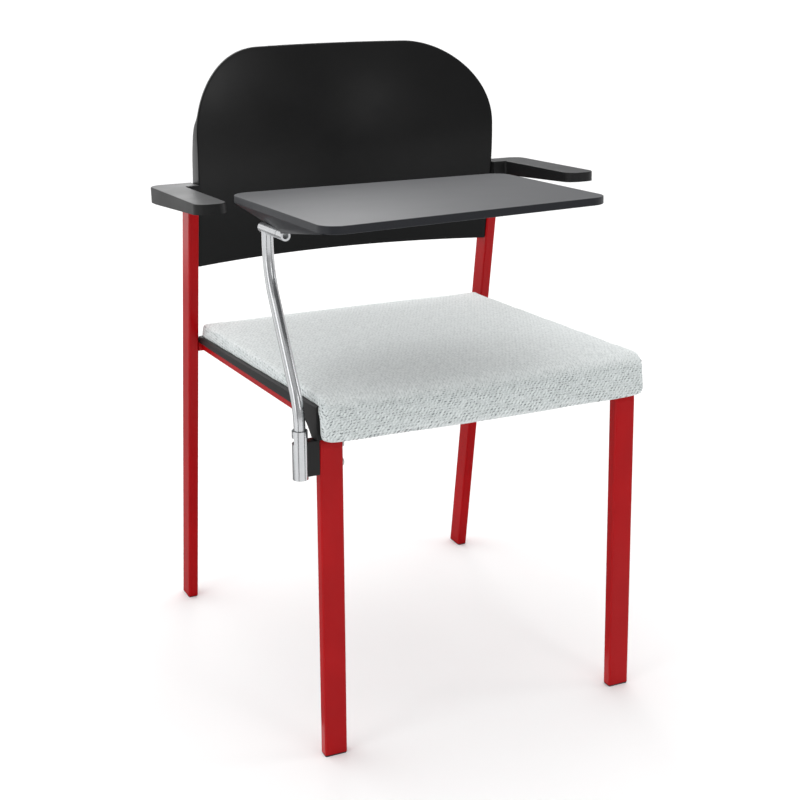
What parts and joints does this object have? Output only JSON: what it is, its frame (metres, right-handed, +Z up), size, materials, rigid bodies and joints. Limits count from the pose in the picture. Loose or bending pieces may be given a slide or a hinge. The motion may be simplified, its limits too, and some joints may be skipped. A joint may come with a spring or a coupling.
{
  "type": "tablet arm chair",
  "caption": "Tube-frame chair with upholstered seat, moulded back shell, L-shaped arms and a writing tablet that swings on a bent post and flips up.",
  "frame": {"origin": "centre of the bounding box on the floor", "axes": "+Z up, the chair faces -Y, the tablet is on the side of the sitter's right arm, -X"},
  "size_m": [0.579, 0.6404, 0.83],
  "materials": {
    "frame": "satin red powder coat",
    "shell": "satin moulded black",
    "arm": "satin moulded black",
    "pan": "matt moulded black",
    "pad": "light grey flecked weave over foam",
    "ply": "bare plywood",
    "glide": "black plastic",
    "chrome": "polished",
    "steel": "zinc plated",
    "bush": "acetal",
    "tablet": "satin anthracite",
    "housing": "satin moulded black"
  },
  "bodies": {
    "chair": {"front_leg_right": "frame", "front_leg_left": "frame", "rear_leg_right": "frame", "rear_leg_left": "frame", "rear_cross_rail": "frame", "front_cross_rail": "frame", "backrest_shell": "shell", "arm_right": "arm", "arm_left": "arm", "seat_pan": "pan", "socket_block": "pan", "seat_cushion": "pad", "seat_board": "ply", "glide_front_right": "glide", "glide_front_left": "glide", "glide_rear_right": "glide", "glide_rear_left": "glide", "tablet_socket": "chrome", "seat_screws": "steel", "back_screws": "steel", "socket_bolts": "steel", "socket_bush_upper": "bush", "socket_bush_lower": "bush"},
    "post": {"tablet_post": "chrome", "stop_pin": "steel", "hinge_barrel": "chrome", "hinge_stop": "housing"},
    "tablet": {"tablet_top": "tablet", "hinge_housing": "housing", "hinge_leaf": "housing", "hinge_knuckle": "chrome", "hinge_pin": "steel", "hinge_washer": "steel", "hinge_cap": "chrome", "tablet_screws": "steel"}
  },
  "joints": [
    {"name": "post_swivel", "type": "hinge", "parent": "chair", "child": "post", "pos_m": [-0.243, -0.2033, 0.4], "axis": [0, 0, 1], "range_deg": [0, 90]},
    {"name": "tablet_flip", "type": "hinge", "parent": "post", "child": "tablet", "pos_m": [-0.243, -0.1123, 0.6565], "axis": [0, -0.9986, 0.0537], "range_deg": [0, 90]}
  ]
}
